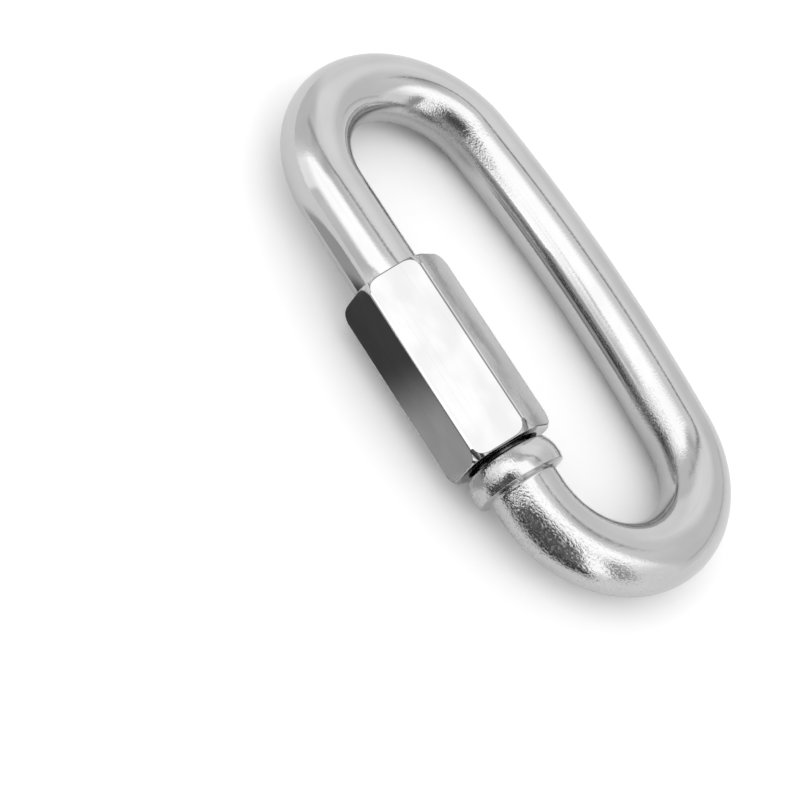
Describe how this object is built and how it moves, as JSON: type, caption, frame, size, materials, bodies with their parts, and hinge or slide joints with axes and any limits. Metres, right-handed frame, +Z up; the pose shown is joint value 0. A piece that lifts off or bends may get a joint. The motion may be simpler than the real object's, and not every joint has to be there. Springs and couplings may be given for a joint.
{
  "type": "oval quick link",
  "caption": "Oval connecting link bent from round steel rod, its side opening closed by a long hexagonal screw sleeve that seats on a forged collar.",
  "frame": {"origin": "centre of the link's outline on the surface it lies on", "axes": "+Z up; +Y along the link's long axis and the sleeve's, from the collar towards the threaded tip; +X from the sleeve's side to the plain side"},
  "size_m": [0.0432, 0.09, 0.0161],
  "materials": {
    "link_body": "tumble-polished stainless steel",
    "sleeve_nut": "tumble-polished stainless steel with flat faces"
  },
  "bodies": {
    "link": {"link_body": "link_body"},
    "sleeve": {"sleeve_nut": "sleeve_nut"}
  },
  "joints": [
    {"name": "sleeve_travel", "type": "slide", "parent": "link", "child": "sleeve", "axis": [0, 1, 0], "range_m": [-0.0006, 0.019]}
  ]
}
